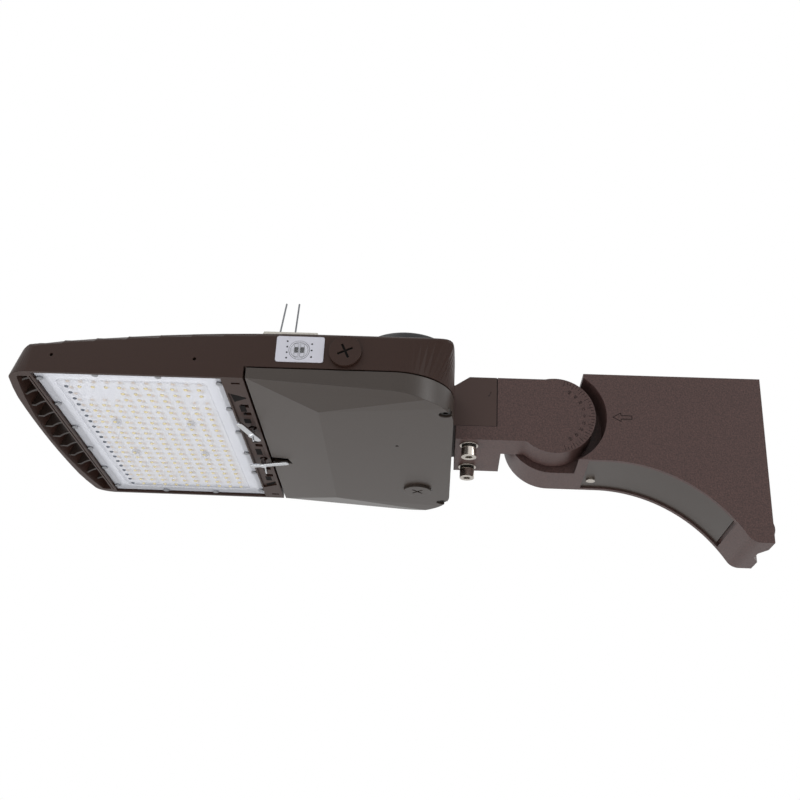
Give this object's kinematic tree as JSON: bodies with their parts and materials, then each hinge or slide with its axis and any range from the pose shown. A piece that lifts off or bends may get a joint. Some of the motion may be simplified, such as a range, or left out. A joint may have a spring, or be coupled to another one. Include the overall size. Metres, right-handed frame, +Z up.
{
  "type": "shoebox area light",
  "caption": "Flat shoebox area light on a tilting knuckle and pole bracket, with a hinged driver cover, turn latches, heat sink fins and a twist-lock photocell.",
  "frame": {"origin": "centre of the bracket's pole face", "axes": "+X out of the pole face, towards the pole; +Z up; -Y is the side wall that carries the label"},
  "size_m": [0.6283, 0.2834, 0.1843],
  "materials": {
    "cast_bronze": "dark bronze powder coat on cast aluminium, fine grain",
    "fin_bronze": "dark bronze powder coat on the fins",
    "cover_bronze": "dark bronze powder coat, satin",
    "polished_steel": "polished stainless steel",
    "zinc_steel": "zinc plated screws",
    "black_steel": "blackened spring steel",
    "seal_rubber": "matt black silicone",
    "clear_lens": "clear polycarbonate",
    "board_white": "white solder mask with yellow chips",
    "black_plastic": "black moulded plastic",
    "photocell_black": "black moulded plastic, satin",
    "label_silver": "pale silver label",
    "switch_grey": "pale grey switch body",
    "driver_case": "bare steel case",
    "pale_plastic": "pale translucent plastic",
    "brass": "bare brass blades"
  },
  "bodies": {
    "pole_arm": {"pole_bracket": "cast_bronze", "bracket_cover": "cast_bronze", "bracket_cover_screw": "zinc_steel"},
    "head": {"arm": "cast_bronze", "knuckle_bolt": "zinc_steel", "knuckle_washer": "zinc_steel", "knuckle_seal": "seal_rubber", "saddle_screws": "zinc_steel", "spring_washers": "black_steel", "flat_washers": "zinc_steel", "housing": "cast_bronze", "heat_sink": "fin_bronze", "led_board": "board_white", "lens": "clear_lens", "lens_gasket": "seal_rubber", "lens_screws": "polished_steel", "board_screws": "polished_steel", "latch_bushes": "polished_steel", "label_plate": "label_silver", "switch_body": "switch_grey", "window_cap": "clear_lens", "side_plug": "cover_bronze", "side_plug_seal": "seal_rubber", "receptacle": "black_plastic", "spike_strip": "pale_plastic", "spike_wires": "polished_steel", "driver": "driver_case", "driver_screws": "polished_steel", "surge_protector": "pale_plastic", "terminal_block": "pale_plastic", "hinge_pins": "polished_steel"},
    "driver_cover": {"driver_cover": "cover_bronze", "cover_gasket": "seal_rubber", "cover_plug": "cover_bronze", "cover_screws": "black_steel"},
    "latch_near": {"latch_near": "polished_steel"},
    "latch_far": {"latch_far": "polished_steel"},
    "photocell": {"photocell": "photocell_black", "photocell_blades": "brass"},
    "power_slide": {"power_slide": "black_plastic"},
    "colour_slide": {"colour_slide": "black_plastic"}
  },
  "joints": [
    {"name": "arm_tilt", "type": "hinge", "parent": "pole_arm", "child": "head", "pos_m": [-0.178, 0, 0.03375], "axis": [0, 1, 0], "range_deg": [-45, 60]},
    {"name": "cover_swing", "type": "hinge", "parent": "head", "child": "driver_cover", "pos_m": [-0.2735, 0, 0.00675], "axis": [0, -1, 0], "range_deg": [0, 60]},
    {"name": "latch_near_turn", "type": "hinge", "parent": "head", "child": "latch_near", "pos_m": [-0.439, -0.036, 0.01375], "axis": [0, 0, 1], "range_deg": [0, 92]},
    {"name": "latch_far_turn", "type": "hinge", "parent": "head", "child": "latch_far", "pos_m": [-0.439, 0.036, 0.01375], "axis": [0, 0, 1], "range_deg": [-92, 0]},
    {"name": "cap_twist", "type": "hinge", "parent": "head", "child": "photocell", "pos_m": [-0.3103, 0, 0.06375], "axis": [0, 0, 1], "range_deg": [-38, 0]},
    {"name": "power_set", "type": "slide", "parent": "head", "child": "power_slide", "axis": [0, 0, 1], "range_m": [-0.003, 0.003]},
    {"name": "colour_set", "type": "slide", "parent": "head", "child": "colour_slide", "axis": [0, 0, 1], "range_m": [-0.003, 0.003]}
  ]
}
